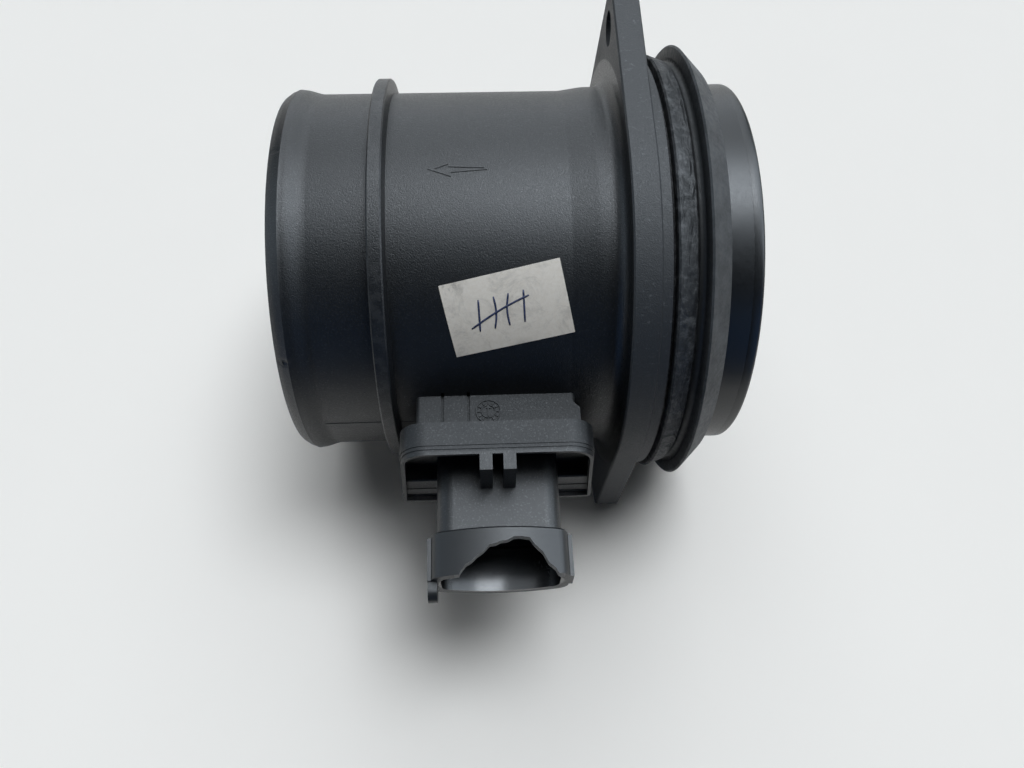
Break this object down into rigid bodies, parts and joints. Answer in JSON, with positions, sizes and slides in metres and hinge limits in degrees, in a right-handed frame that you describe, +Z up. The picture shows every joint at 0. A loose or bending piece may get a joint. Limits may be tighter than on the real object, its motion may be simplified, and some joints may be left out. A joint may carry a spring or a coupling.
{
  "type": "mass airflow sensor",
  "caption": "Moulded measuring pipe with a two-ear flange, rubber lip seal and a plug-in hot-film sensor with a broken connector shroud.",
  "frame": {"origin": "centre of the flange's mounting face, on the pipe axis", "axes": "+X along the pipe axis out of the air inlet, the connector points along -Y, +Z up off the table, away from the flange's straight lower edge"},
  "size_m": [0.1031, 0.137, 0.1072],
  "materials": {
    "housing_plastic": "satin, fine spark-eroded grain",
    "seal_rubber": "dusty, scuffed",
    "sensor_plastic": "satin",
    "cover_plastic": "satin",
    "grid_plastic": "satin",
    "inner_rubber": "soft silicone",
    "terminal_metal": "tinned",
    "plate_metal": "rolled",
    "ceramic_board": "fired ceramic",
    "chip_dark": "polished silicon",
    "gel_clear": "clear gel",
    "mesh_metal": "drawn wire",
    "paper_label": "plain paper"
  },
  "bodies": {
    "root": {"housing": "housing_plastic", "lip_seal": "seal_rubber", "sensor_body": "sensor_plastic", "neck_seal": "inner_rubber", "terminals": "terminal_metal", "carrier_plate": "plate_metal", "circuit_board": "ceramic_board", "hot_film_chip": "chip_dark", "evaluation_chip": "chip_dark", "chip_resistors": "chip_dark", "sealing_gel": "gel_clear", "electronics_cover": "cover_plastic", "bypass_cover": "cover_plastic", "air_temp_sensor": "terminal_metal", "flow_grid": "grid_plastic", "wire_mesh": "mesh_metal", "grid_ring": "grid_plastic", "label": "paper_label"}
  },
  "joints": []
}
